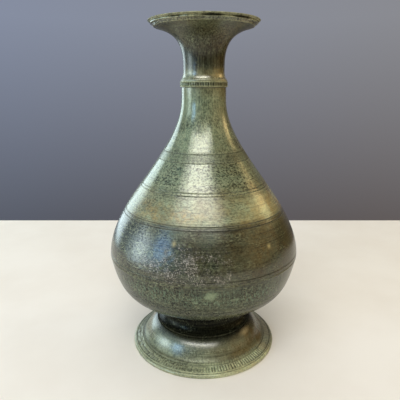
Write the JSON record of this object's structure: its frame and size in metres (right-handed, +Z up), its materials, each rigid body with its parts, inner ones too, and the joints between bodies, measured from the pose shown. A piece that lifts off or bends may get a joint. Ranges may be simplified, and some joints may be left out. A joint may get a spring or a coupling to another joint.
{
  "type": "bronze hu vessel",
  "caption": "Pear-bodied bronze bottle with a flaring mouth, notched neck collar, incised shoulder lines and a spreading foot, for holding liquid or stems.",
  "frame": {"origin": "centre of the circle that the foot rests on", "axes": "+Z up along the vessel's axis, from the foot to the mouth; X and Y are free, because the body is round"},
  "size_m": [0.176, 0.176, 0.3],
  "materials": {
    "body_bronze": "grey-green patina, waxed satin",
    "foot_bronze": "darker grey-green patina, waxed satin",
    "collar_bronze": "worn patina, satin",
    "rim_bronze": "worn patina with ochre, satin",
    "solder": "dull dark grey solder"
  },
  "bodies": {
    "root": {"rim_plate": "rim_bronze", "mouth_trumpet": "body_bronze", "neck_collar": "collar_bronze", "shoulder_shell": "body_bronze", "bowl_shell": "body_bronze", "foot_stem": "foot_bronze", "foot_dome": "foot_bronze", "foot_edge_ring": "foot_bronze", "rim_solder": "solder", "neck_solder": "solder", "belly_solder": "solder", "bowl_solder": "solder", "stem_solder": "solder", "edge_solder": "solder"}
  },
  "joints": []
}
